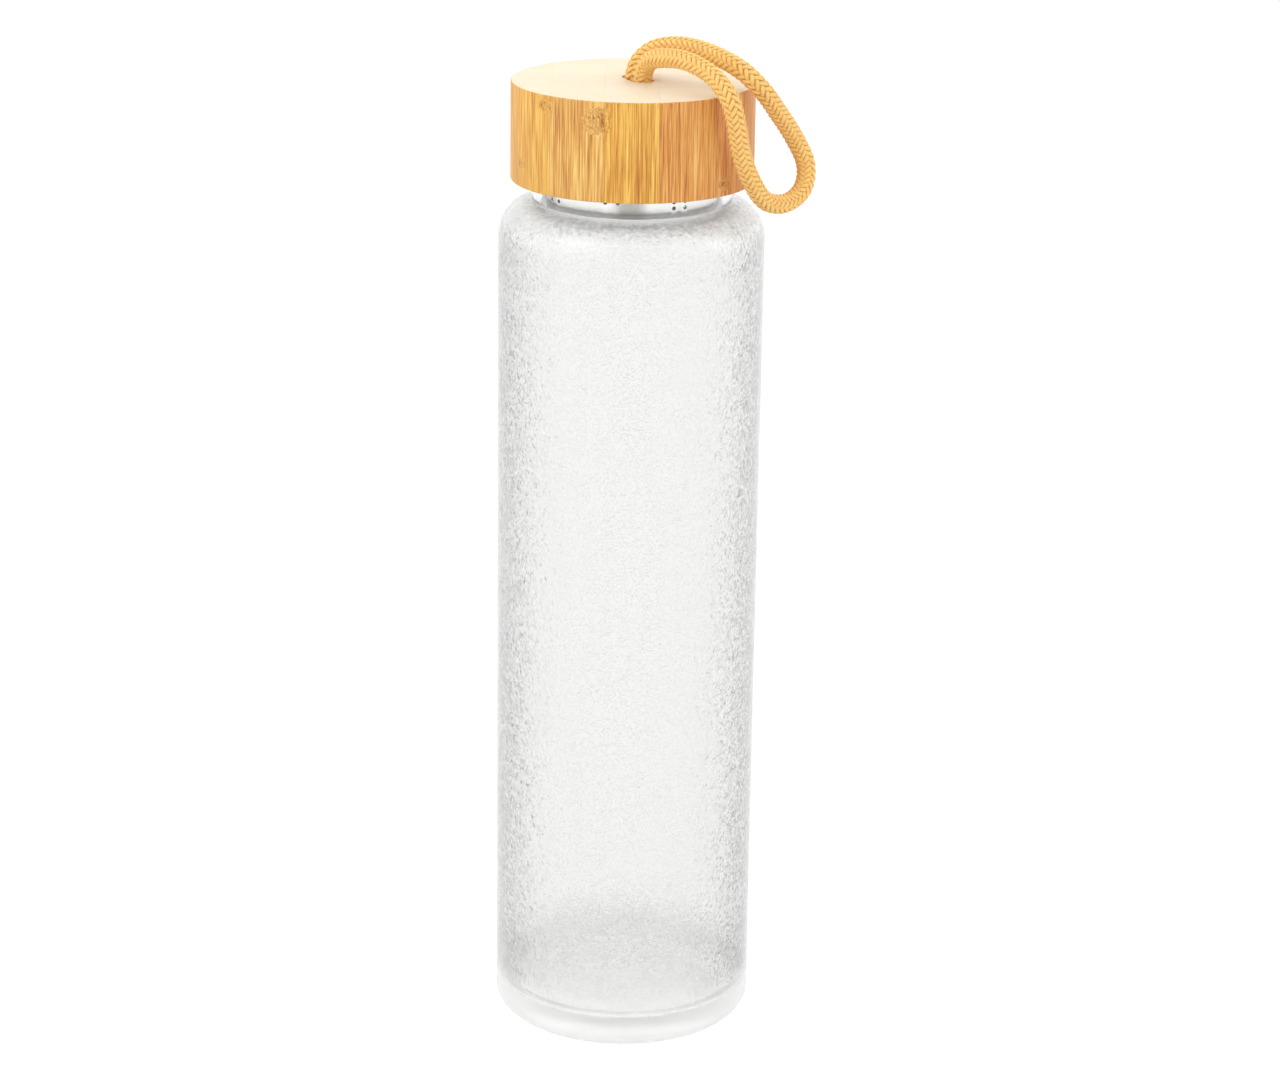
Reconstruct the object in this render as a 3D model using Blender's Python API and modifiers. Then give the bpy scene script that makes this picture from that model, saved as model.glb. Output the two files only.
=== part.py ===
"""Glass water bottle with a screw-on bamboo lid, a steel strainer in its neck and a cord loop.

Units are metres, +Z is up, and the bottle stands on z = 0 with its axis on the Z axis.
"""

import math

import bmesh
import bpy
from mathutils import Matrix

MM = 0.001

# Driving dimensions
BODY_RADIUS = 32.5 * MM
BODY_WALL = 2.4 * MM
HEEL_RADIUS = 5.0 * MM
SHOULDER_TOP = 212.0 * MM
SHOULDER_DROP = 9.0 * MM
NECK_RADIUS = 24.3 * MM
NECK_BORE_RADIUS = 22.0 * MM
RIM_TOP = 225.5 * MM
LID_RADIUS = 29.5 * MM
LID_BOTTOM = 217.2 * MM
LID_HEIGHT = 24.0 * MM
THREAD_LEAD = 8.0 * MM
THREAD_STARTS = 2
NECK_BEAD_TOP = 223.6 * MM
STRAINER_RADIUS = 20.75 * MM
STRAINER_BOTTOM = 211.15 * MM
SHEET = 0.5 * MM
CORD_RADIUS = 2.375 * MM
GAP = 0.3 * MM

TURN_STEPS = 48


# ---------------------------------------------------------------- helpers


def clear_scene():
    for obj in list(bpy.data.objects):
        bpy.data.objects.remove(obj, do_unlink=True)


def new_collection(name):
    collection = bpy.data.collections.new(name)
    bpy.context.scene.collection.children.link(collection)
    return collection


def make_material(name, colour, roughness, metallic=0.0, transmission=0.0):
    material = bpy.data.materials.new(name)
    material.use_nodes = True
    shader = material.node_tree.nodes["Principled BSDF"]
    shader.inputs["Base Color"].default_value = (*colour, 1.0)
    shader.inputs["Roughness"].default_value = roughness
    shader.inputs["Metallic"].default_value = metallic
    shader.inputs["Transmission Weight"].default_value = transmission
    material.diffuse_color = (*colour, 1.0)
    return material


def add_object(name, data, collection, material=None):
    obj = bpy.data.objects.new(name, data)
    collection.objects.link(obj)
    if material:
        data.materials.append(material)
    return obj


def arc(centre, radii, start, end, segments):
    """Points on an elliptical arc in the (radius, height) plane; angles in degrees from +radius."""
    points = []
    for i in range(segments + 1):
        angle = math.radians(start + (end - start) * i / segments)
        points.append(
            (
                centre[0] + radii[0] * math.cos(angle),
                centre[1] + radii[1] * math.sin(angle),
            )
        )
    return points


def real_mesh(obj):
    """The object's evaluated mesh as a new mesh, with the seams of caps and turns welded."""
    graph = bpy.context.evaluated_depsgraph_get()
    mesh = bpy.data.meshes.new_from_object(obj.evaluated_get(graph))
    shell = bmesh.new()
    shell.from_mesh(mesh)
    bmesh.ops.remove_doubles(shell, verts=shell.verts, dist=0.001 * MM)
    shell.to_mesh(mesh)
    shell.free()
    return mesh


def smooth(mesh, angle=35.0):
    mesh.polygons.foreach_set("use_smooth", [True] * len(mesh.polygons))
    mesh.set_sharp_from_angle(angle=math.radians(angle))


def turned(name, profile, collection, material, closed=False):
    """A solid of revolution: the profile is (radius, height) points, down the outer side first."""
    mesh = bpy.data.meshes.new(name + "_profile")
    count = len(profile)
    edges = [(i, i + 1) for i in range(count - 1)]
    if closed:
        edges.append((count - 1, 0))
    mesh.from_pydata([(radius, 0.0, height) for radius, height in profile], edges, [])
    obj = add_object(name, mesh, collection)
    screw = obj.modifiers.new("Turn", "SCREW")
    screw.axis = "Z"
    screw.steps = TURN_STEPS
    screw.render_steps = TURN_STEPS
    screw.use_merge_vertices = True
    screw.merge_threshold = 0.01 * MM
    solid = real_mesh(obj)
    solid.name = name
    obj.modifiers.clear()
    obj.data = solid
    bpy.data.meshes.remove(mesh)
    smooth(solid)
    solid.materials.append(material)
    return obj


def tube(name, points, radius, collection, sides_level, sizes=None):
    """A round tube along a list of points; sizes scales its thickness at each point."""
    curve = bpy.data.curves.new(name, "CURVE")
    curve.dimensions = "3D"
    curve.bevel_depth = radius
    curve.bevel_resolution = sides_level
    curve.use_fill_caps = True
    spline = curve.splines.new("POLY")
    spline.points.add(len(points) - 1)
    for i, point in enumerate(points):
        spline.points[i].co = (*point, 1.0)
        spline.points[i].radius = sizes[i] if sizes else 1.0
    return add_object(name, curve, collection)


def hide_cutter(obj):
    obj.hide_render = True
    obj.display_type = "WIRE"


def combine(target, other, operation):
    modifier = target.modifiers.new(operation.title() + " " + other.name, "BOOLEAN")
    modifier.operation = operation
    modifier.solver = "EXACT"
    modifier.object = other
    hide_cutter(other)


def place(obj, height, parent=None):
    """Puts an object on the bottle's axis at a height, under an empty if one is given."""
    if parent:
        obj.parent = parent
        height -= parent.location.z
    obj.location.z = height


def axis_empty(name, height, collection):
    empty = bpy.data.objects.new(name, None)
    empty.empty_display_size = 10 * MM
    empty.location.z = height
    collection.objects.link(empty)
    return empty


# ---------------------------------------------------------------- threads


def thread_beads(name, bead_radius, centre_radius, top, turns, cutters):
    """Rounded right-hand thread ridges, one per start, thinning out at both ends."""
    beads = []
    steps = round(turns * TURN_STEPS)
    run_out = 5
    for start in range(THREAD_STARTS):
        points = []
        sizes = []
        for i in range(steps + 1):
            turned_by = turns * i / steps
            angle = 2 * math.pi * (start / THREAD_STARTS - turned_by)
            points.append(
                (
                    centre_radius * math.cos(angle),
                    centre_radius * math.sin(angle),
                    top - THREAD_LEAD * turned_by,
                )
            )
            from_end = min(i, steps - i) / run_out
            sizes.append(min(1.0, 0.4 + 0.6 * from_end))
        curve = tube(name + "_path", points, bead_radius, cutters, 2, sizes)
        bead = add_object(f"{name}_{start + 1}", real_mesh(curve), cutters)
        bpy.data.objects.remove(curve, do_unlink=True)
        beads.append(bead)
    return beads


# ---------------------------------------------------------------- bottle


def bottle_profile():
    wall_middle = (NECK_RADIUS + NECK_BORE_RADIUS) / 2
    rim_radius = (NECK_RADIUS - NECK_BORE_RADIUS) / 2
    shoulder_base = SHOULDER_TOP - SHOULDER_DROP
    inner_radius = BODY_RADIUS - BODY_WALL
    ring_inner = 23.8 * MM
    punt_height = 3.4 * MM
    floor = 7.2 * MM
    floor_corner = 4.5 * MM
    neck_fillet = 1.0 * MM

    rim_centre = (wall_middle, RIM_TOP - rim_radius)
    profile = arc(rim_centre, (rim_radius, rim_radius), 90, 0, 3)
    profile.append((NECK_RADIUS, SHOULDER_TOP + neck_fillet))
    shoulder_radii = (BODY_RADIUS - NECK_RADIUS, SHOULDER_DROP)
    profile += arc((NECK_RADIUS, shoulder_base), shoulder_radii, 83, 0, 7)
    heel_centre = (BODY_RADIUS - HEEL_RADIUS, HEEL_RADIUS)
    profile += arc(heel_centre, (HEEL_RADIUS, HEEL_RADIUS), 0, -90, 4)
    profile.append((ring_inner, 0.0))
    profile.append((ring_inner - 1.6 * MM, 1.8 * MM))
    profile.append((ring_inner - 7.0 * MM, punt_height - 0.4 * MM))
    profile.append((0.0, punt_height))
    profile.append((0.0, floor))
    corner_centre = (inner_radius - floor_corner, floor - 0.4 * MM + floor_corner)
    profile += arc(corner_centre, (floor_corner, floor_corner), -90, 0, 3)
    inner_radii = (inner_radius - NECK_BORE_RADIUS, SHOULDER_DROP - BODY_WALL)
    profile += arc((NECK_BORE_RADIUS, shoulder_base), inner_radii, 0, 90, 5)
    profile += arc(rim_centre, (rim_radius, rim_radius), 180, 90, 3)[:-1]
    return profile


def build_bottle(collection, cutters):
    """The blown body and neck, with the moulded thread ridges under the rim."""
    glass = make_material("frosted_glass", (0.86, 0.88, 0.88), 0.25, transmission=0.6)
    bottle = turned("glass_bottle", bottle_profile(), collection, glass, closed=True)
    bead_radius = 1.1 * MM
    turns = 0.6
    beads = thread_beads(
        "neck_bead",
        bead_radius,
        NECK_RADIUS - 0.1 * MM,
        NECK_BEAD_TOP,
        turns,
        cutters,
    )
    for bead in beads:
        combine(bottle, bead, "UNION")
    return bottle


# ---------------------------------------------------------------- lid


def cord_hole_cutter(bottom, cutters):
    """The oblong hole round the cord's two legs, from a height below it to a flare at the lid's top."""
    first = (CORD_ROUTE[0][0] * MM, CORD_ROUTE[0][1] * MM)
    second = (CORD_ROUTE[-1][0] * MM, CORD_ROUTE[-1][1] * MM)
    turn = math.degrees(math.atan2(second[1] - first[1], second[0] - first[0]))
    hole = CORD_RADIUS + GAP
    flare = 0.4 * MM
    sizes = [
        (hole, bottom),
        (hole, LID_HEIGHT - flare),
        (hole + 2 * flare, LID_HEIGHT + flare),
    ]
    cutter = bmesh.new()
    rings = []
    for radius, height in sizes:
        outline = arc(second, (radius, radius), turn - 90, turn + 90, 10)
        outline += arc(first, (radius, radius), turn + 90, turn + 270, 10)
        rings.append([cutter.verts.new((x, y, height)) for x, y in outline])
    for low, high in zip(rings, rings[1:]):
        for i in range(len(low)):
            cutter.faces.new((low[i - 1], low[i], high[i], high[i - 1]))
    cutter.faces.new(reversed(rings[0]))
    cutter.faces.new(rings[-1])
    mesh = bpy.data.meshes.new("cord_hole")
    cutter.to_mesh(mesh)
    cutter.free()
    return add_object("cord_hole", mesh, cutters)


def build_bamboo_lid(collection, cutters, insert_radius, insert_top, pocket):
    """The wooden cap: open below for the insert, with a knot pocket and the cord's hole in its top."""
    bamboo = make_material("bamboo", (0.72, 0.45, 0.16), 0.5)
    edge = 0.4 * MM
    bore = insert_radius + GAP
    bore_top = insert_top + GAP
    pocket_radius, pocket_top = pocket
    profile = [
        (0.0, LID_HEIGHT),
        (LID_RADIUS - edge, LID_HEIGHT),
        (LID_RADIUS, LID_HEIGHT - edge),
        (LID_RADIUS, edge),
        (LID_RADIUS - edge, 0.0),
        (bore + edge, 0.0),
        (bore, edge),
        (bore, bore_top),
        (pocket_radius, bore_top),
        (pocket_radius, pocket_top),
        (0.0, pocket_top),
    ]
    lid = turned("bamboo_lid", profile, collection, bamboo)
    hole = cord_hole_cutter(pocket_top - 2 * MM, cutters)
    place(hole, LID_BOTTOM)
    combine(lid, hole, "DIFFERENCE")
    return lid


def build_thread_insert(collection, cutters, outer_radius, bore, top, seal_bottom):
    """The moulded cup glued into the lid: thread ridges, a rib that keeps the gasket, and a well."""
    plastic = make_material("natural_plastic", (0.85, 0.85, 0.82), 0.4)
    bottom = 0.4 * MM
    roof = 1.4 * MM
    rib_reach = 0.95 * MM
    rib_top = seal_bottom - GAP
    well_depth = 3.0 * MM
    well_radius = 8.2 * MM
    profile = [
        (0.0, top - well_depth),
        (well_radius, top - well_depth),
        (well_radius, top),
        (outer_radius, top),
        (outer_radius, bottom),
        (bore, bottom),
        (bore, rib_top - 1.1 * MM),
        (bore - rib_reach, rib_top - 0.5 * MM),
        (bore - rib_reach, rib_top),
        (bore, rib_top),
        (bore, top - roof),
        (well_radius + roof, top - roof),
        (well_radius + roof, top - roof - well_depth),
        (0.0, top - roof - well_depth),
    ]
    insert = turned("thread_insert", profile, collection, plastic)
    bead_radius = 0.9 * MM
    turns = 0.5
    # Each ridge runs half a thread pitch below a ridge of the neck when the lid is screwed down.
    pitch = THREAD_LEAD / THREAD_STARTS
    beads = thread_beads(
        "insert_bead",
        bead_radius,
        bore,
        NECK_BEAD_TOP - LID_BOTTOM - pitch / 2,
        turns,
        cutters,
    )
    for bead in beads:
        combine(insert, bead, "UNION")
        place(bead, LID_BOTTOM)
    return insert


def build_gasket(collection, bottom, thickness):
    silicone = make_material("white_silicone", (0.9, 0.9, 0.88), 0.55)
    inner = 21.4 * MM
    outer = 25.2 * MM
    profile = [(inner, thickness), (outer, thickness), (outer, 0.0), (inner, 0.0)]
    gasket = turned("lid_gasket", profile, collection, silicone, closed=True)
    place(gasket, bottom)
    return gasket


# ---------------------------------------------------------------- strainer


def hole_cutter(name, radius, depth, holes, cutters):
    """Several round holes as one cutter: holes gives (x, y, z, tilt, spin) for each."""
    cutter = bmesh.new()
    for x, y, z, tilt, spin in holes:
        made = bmesh.ops.create_cone(
            cutter,
            cap_ends=True,
            segments=6,
            radius1=radius,
            radius2=radius,
            depth=depth,
        )
        bmesh.ops.rotate(
            cutter,
            verts=made["verts"],
            cent=(0, 0, 0),
            matrix=rotation(tilt, spin),
        )
        bmesh.ops.translate(cutter, verts=made["verts"], vec=(x, y, z))
    mesh = bpy.data.meshes.new(name)
    cutter.to_mesh(mesh)
    cutter.free()
    return add_object(name, mesh, cutters)


def rotation(tilt, spin):
    """A turn by tilt about Y, then by spin about Z."""
    return Matrix.Rotation(spin, 3, "Z") @ Matrix.Rotation(tilt, 3, "Y")


def side_holes():
    """Eight clusters of two columns of three holes; every other cluster sits one row higher."""
    clusters = 8
    row_pitch = 1.5 * MM
    column_half_angle = 4.1
    first_cluster = -13.0
    lowest = 2.9 * MM
    holes = []
    for cluster in range(clusters):
        middle = first_cluster + cluster * 360 / clusters
        for side in (-1, 1):
            spin = math.radians(middle + side * column_half_angle - 90)
            for row in range(3):
                height = lowest + (row + (cluster + 1) % 2) * row_pitch
                x = STRAINER_RADIUS * math.cos(spin)
                y = STRAINER_RADIUS * math.sin(spin)
                holes.append((x, y, height, math.pi / 2, spin))
    return holes


def base_holes():
    """Rings of holes through the strainer's flat base."""
    ring_pitch = 4.6 * MM
    holes = [(0.0, 0.0, 0.0, 0.0, 0.0)]
    for ring in range(1, 4):
        for i in range(6 * ring):
            angle = 2 * math.pi * i / (6 * ring)
            x = ring * ring_pitch * math.cos(angle)
            y = ring * ring_pitch * math.sin(angle)
            holes.append((x, y, 0.0, 0.0, angle))
    return holes


def build_strainer(collection, cutters, flange_top):
    """A drawn steel cup with a flange that rests over the rim; its height 0 is its underside."""
    steel = make_material("brushed_steel", (0.62, 0.62, 0.61), 0.3, metallic=1.0)
    flange_radius = 23.6 * MM
    corner = 0.7 * MM
    height = flange_top - STRAINER_BOTTOM
    inner = STRAINER_RADIUS - SHEET
    profile = [
        (inner, height),
        (flange_radius, height),
        (flange_radius, height - SHEET),
        (STRAINER_RADIUS, height - SHEET),
    ]
    profile += arc(
        (STRAINER_RADIUS - corner, corner), (corner, corner), 0, -90, 2
    )
    profile.append((0.0, 0.0))
    profile.append((0.0, SHEET))
    profile.append((inner - corner / 2, SHEET))
    profile.append((inner, SHEET + corner / 2))
    basket = turned("strainer_basket", profile, collection, steel, closed=True)
    side_cutter = hole_cutter("side_holes", 0.5 * MM, 3 * MM, side_holes(), cutters)
    base_cutter = hole_cutter("base_holes", 0.9 * MM, 3 * MM, base_holes(), cutters)
    for cutter in (side_cutter, base_cutter):
        combine(basket, cutter, "DIFFERENCE")
        place(cutter, STRAINER_BOTTOM)
    return basket


def build_collar(collection, lip_bottom, lip_thickness):
    """The silicone ring between basket and glass: a lip on the rim and a sleeve in the neck."""
    silicone = make_material("clear_silicone", (0.82, 0.83, 0.82), 0.5)
    inner = STRAINER_RADIUS + GAP
    sleeve_outer = NECK_BORE_RADIUS - GAP
    lip_outer = NECK_RADIUS - 0.1 * MM
    sleeve_bottom = -4.3 * MM
    profile = [
        (inner, lip_thickness),
        (lip_outer, lip_thickness),
        (lip_outer, 0.0),
        (sleeve_outer, 0.0),
        (sleeve_outer, sleeve_bottom),
        (inner, sleeve_bottom),
    ]
    collar = turned("strainer_collar", profile, collection, silicone, closed=True)
    place(collar, lip_bottom)
    return collar


# ---------------------------------------------------------------- cord


# The loop's middle line in millimetres from the bottle's base, from the front leg in the
# lid's hole, over the lid's edge, round the hanging loop and back into the hole.
CORD_ROUTE = [
    (2.1, -0.8, 237.2),
    (2.1, -0.8, 240.6),
    (2.6, -1.5, 244.0),
    (4.1, -3.5, 246.5),
    (7.3, -7.9, 247.9),
    (12.7, -14.7, 248.4),
    (18.6, -20.6, 246.1),
    (22.6, -24.3, 241.2),
    (24.3, -24.4, 234.9),
    (25.6, -22.8, 228.3),
    (27.9, -20.6, 221.8),
    (31.6, -16.9, 215.8),
    (36.9, -11.7, 214.1),
    (41.0, -7.4, 216.7),
    (41.7, -4.9, 222.2),
    (38.7, -5.8, 228.8),
    (34.6, -9.8, 235.5),
    (30.6, -13.2, 241.4),
    (25.5, -12.2, 246.1),
    (19.1, -6.4, 248.6),
    (12.0, -0.7, 249.6),
    (5.6, 2.8, 248.4),
    (1.6, 3.9, 245.2),
    (0.2, 4.0, 241.2),
    (0.1, 4.0, 237.2),
]


def smooth_route(points, per_span):
    """Points on a Catmull-Rom curve through the given points, in metres."""
    ends = [points[0], *points, points[-1]]
    route = []
    for i in range(1, len(ends) - 2):
        before, start, end, after = ends[i - 1 : i + 3]
        for step in range(per_span):
            t = step / per_span
            point = []
            for a, b, c, d in zip(before, start, end, after):
                value = 2 * b + (c - a) * t
                value += (2 * a - 5 * b + 4 * c - d) * t**2
                value += (3 * b - a - 3 * c + d) * t**3
                point.append(value / 2 * MM)
            route.append(tuple(point))
    route.append(tuple(value * MM for value in points[-1]))
    return route


def build_cord(collection, lid_axis):
    cotton = make_material("mustard_cotton", (0.78, 0.45, 0.08), 0.9)
    route = smooth_route(CORD_ROUTE, 2)
    route = [(x, y, z - LID_BOTTOM) for x, y, z in route]
    cord = tube("cord_loop", route, CORD_RADIUS, collection, 3)
    cord.data.materials.append(cotton)
    place(cord, LID_BOTTOM, lid_axis)

    bottom = 228.3 * MM - LID_BOTTOM
    top = 236.9 * MM - LID_BOTTOM
    lower_lobe = 2.3 * MM
    upper_lobe = 2.1 * MM
    profile = [(0.0, top)]
    profile += arc((4.5 * MM, top - upper_lobe), (upper_lobe, upper_lobe), 90, -60, 5)
    profile += arc((4.9 * MM, bottom + lower_lobe), (lower_lobe, lower_lobe), 60, -90, 5)
    profile.append((0.0, bottom))
    knot = turned("cord_knot", profile, collection, cotton)
    place(knot, LID_BOTTOM, lid_axis)


# ---------------------------------------------------------------- assembly


def main():
    clear_scene()
    parts = new_collection("glass_water_bottle")
    cutters = new_collection("cutters")
    cutters.hide_render = True

    # The stack over the glass rim, from below: collar lip, strainer flange, gasket, insert roof.
    lip_thickness = 0.8 * MM
    gasket_thickness = 1.6 * MM
    lip_bottom = RIM_TOP + GAP
    flange_top = lip_bottom + lip_thickness + GAP + SHEET
    gasket_bottom = flange_top + GAP
    roof_bottom = gasket_bottom + gasket_thickness + GAP
    insert_top = roof_bottom + 1.4 * MM - LID_BOTTOM
    insert_radius = 26.8 * MM
    insert_bore = 25.65 * MM

    build_bottle(parts, cutters)

    lid_axis = axis_empty("lid_axis", LID_BOTTOM, parts)
    pocket = (8.0 * MM, LID_HEIGHT - 3.9 * MM)
    bamboo_lid = build_bamboo_lid(parts, cutters, insert_radius, insert_top, pocket)
    place(bamboo_lid, LID_BOTTOM, lid_axis)
    insert = build_thread_insert(
        parts,
        cutters,
        insert_radius,
        insert_bore,
        insert_top,
        gasket_bottom - LID_BOTTOM,
    )
    place(insert, LID_BOTTOM, lid_axis)
    build_cord(parts, lid_axis)
    build_gasket(parts, gasket_bottom, gasket_thickness)

    strainer_axis = axis_empty("strainer_axis", STRAINER_BOTTOM, parts)
    basket = build_strainer(parts, cutters, flange_top)
    place(basket, STRAINER_BOTTOM, strainer_axis)
    collar = build_collar(parts, lip_bottom, lip_thickness)
    place(collar, lip_bottom, strainer_axis)


main()
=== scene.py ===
"""The looks of a glass water bottle with a bamboo lid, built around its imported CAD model.

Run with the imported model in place. Every length is in metres, in the frame of the CAD model: +Z up, the
bottle's axis on Z, its standing ring at z = 0, its front towards -Y.
"""

import math

import bmesh
import bpy
import numpy as np
from mathutils import Matrix, Vector


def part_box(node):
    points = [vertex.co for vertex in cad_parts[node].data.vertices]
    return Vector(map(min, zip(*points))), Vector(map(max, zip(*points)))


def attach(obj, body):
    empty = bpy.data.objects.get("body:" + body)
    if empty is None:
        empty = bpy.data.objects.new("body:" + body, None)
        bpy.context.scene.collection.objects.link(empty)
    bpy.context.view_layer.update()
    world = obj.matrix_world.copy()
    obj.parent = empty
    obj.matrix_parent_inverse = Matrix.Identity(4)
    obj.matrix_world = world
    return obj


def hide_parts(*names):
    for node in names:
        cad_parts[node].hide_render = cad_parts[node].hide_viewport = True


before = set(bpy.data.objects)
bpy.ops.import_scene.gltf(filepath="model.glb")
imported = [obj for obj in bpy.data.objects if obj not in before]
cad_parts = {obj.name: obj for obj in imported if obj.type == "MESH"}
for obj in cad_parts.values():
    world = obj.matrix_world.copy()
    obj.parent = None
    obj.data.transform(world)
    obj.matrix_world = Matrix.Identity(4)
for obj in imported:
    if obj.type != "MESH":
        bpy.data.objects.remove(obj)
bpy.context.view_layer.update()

MM = 0.001
ON_AXIS = 1e-7

# ---------------------------------------------------------------- sizes, from the CAD nodes or as in the CAD


def outer_radius(node):
    """The radius of a round node about the Z axis."""
    low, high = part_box(node)
    return (high.x - low.x) / 2


def bottom(node):
    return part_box(node)[0].z


def top(node):
    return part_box(node)[1].z


BODY_RADIUS = outer_radius("glass_bottle")
BODY_WALL = 2.4 * MM
HEEL_RADIUS = 5.0 * MM
RIM_TOP = top("glass_bottle")
RIM_RADIUS = 1.15 * MM
NECK_RADIUS = 24.3 * MM
NECK_BORE = 22.0 * MM
SHOULDER_TOP = 212.0 * MM
SHOULDER_DROP = 9.0 * MM
INNER_SHOULDER_DROP = 6.6 * MM
FLOOR_TOP = 7.2 * MM
FLOOR_CORNER = 4.5 * MM
FLOOR_FLATTENING = 0.4 * MM
RING_INNER = 23.8 * MM
OUTER_FILLET = 0.4 * MM
INNER_FILLET = 1.4 * MM
# Half of the hollow under the base, from the axis outwards: radius and height in millimetres.
PUNT = ((0, 3.4), (8.4, 3.3), (16.8, 3.0), (20.6, 2.4), (22.4, 1.6), (23.2, 0.7))

THREAD_LEAD = 8.0 * MM
THREAD_STARTS = 2
NECK_BEAD_TOP = 223.6 * MM
NECK_BEAD_TURNS = 0.6
NECK_BEAD_RADIUS = 1.1 * MM
INSERT_BEAD_TOP = 221.6 * MM
INSERT_BEAD_TURNS = 0.5
INSERT_BEAD_RADIUS = 0.9 * MM
INSERT_THREAD_LOW = 217.9 * MM
INSERT_THREAD_HIGH = 226.3 * MM
# A bead goes on a little past its turns, sinks to nothing at both ends and is a little flattened.
BEAD_END_TURNS = 0.02
BEAD_RUN_OUT_TURNS = 0.05
BEAD_FLATTENING = 0.95
SAME_RADIUS = 0.05 * MM

LID_RADIUS = outer_radius("bamboo_lid")
LID_BOTTOM = bottom("bamboo_lid")
LID_TOP = top("bamboo_lid")
LID_EDGE = 0.4 * MM
CORD_HOLE = 2.675 * MM
CORD_HOLE_FLARE = 0.9 * MM
KNOT_POCKET = 8.0 * MM
KNOT_POCKET_TOP = 237.3 * MM
LID_GAP = 0.3 * MM

INSERT_RADIUS = outer_radius("thread_insert")
INSERT_BORE = INSERT_RADIUS - 1.15 * MM
INSERT_ROOF = 229.6 * MM
GASKET_RIB = 227.15 * MM
WELL_RADIUS = 8.2 * MM
WELL_UNDERSIDE = 226.6 * MM
WELL_FLOOR = 228.0 * MM

GASKET_INNER = 21.4 * MM
GASKET_EDGE = 0.35 * MM
COLLAR_SLEEVE = 21.7 * MM
COLLAR_INNER = 21.05 * MM
COLLAR_LIP = 0.8 * MM

STRAINER_RADIUS = 20.75 * MM
STRAINER_SHEET = 0.5 * MM
STRAINER_CORNER = 0.35 * MM
PUNCH_DEPTH = 3 * MM
SIDE_HOLE_RADIUS = 0.5 * MM
SIDE_HOLE_MIDDLE = 20.5 * MM
SIDE_HOLE_LOWEST = 2.9 * MM
SIDE_HOLE_PITCH = 1.5 * MM
SIDE_HOLE_ROWS = 3
SIDE_CLUSTERS = 8
# In degrees from the front towards +X: the first cluster's middle, and its columns to either side of it.
FIRST_CLUSTER_ANGLE = -13
HOLE_COLUMN_ANGLE = 4.1
BASE_HOLE_RADIUS = 0.9 * MM
BASE_HOLE_PITCH = 4.6 * MM
BASE_HOLE_RINGS = 3

CORD_DIAMETER = 4.75 * MM

# ---------------------------------------------------------------- the camera

# The photograph's view: the place in metres, the lens and the sensor in millimetres.
CAMERA_PLACE = Vector((0.0, -0.8337, 0.3954))
CAMERA_TURN = math.radians(-0.218)
CAMERA_PITCH = math.radians(17.92)
CAMERA_ROLL = math.radians(0.836)
CAMERA_LENS = 98.46
SENSOR_WIDTH = 36.0
NEAREST_SEEN = 0.01


def make_camera():
    camera = bpy.data.objects.new("camera", bpy.data.cameras.new("camera"))
    camera.data.lens = CAMERA_LENS
    camera.data.sensor_width = SENSOR_WIDTH
    camera.data.clip_start = NEAREST_SEEN
    turn = Matrix.Rotation(CAMERA_TURN, 4, "Z")
    tilt = Matrix.Rotation(math.pi / 2 - CAMERA_PITCH, 4, "X")
    roll = Matrix.Rotation(CAMERA_ROLL, 4, "Z")
    camera.matrix_world = Matrix.Translation(CAMERA_PLACE) @ turn @ tilt @ roll
    bpy.context.scene.collection.objects.link(camera)
    bpy.context.scene.camera = camera


# ---------------------------------------------------------------- material helpers

# Numbers of a Mix node's sockets, which share their names between kinds of value.
MIX_FACTOR = 0
MIX_VALUES = (2, 3)
MIX_COLOURS = (6, 7)
MIX_COLOUR_RESULT = 2


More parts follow.
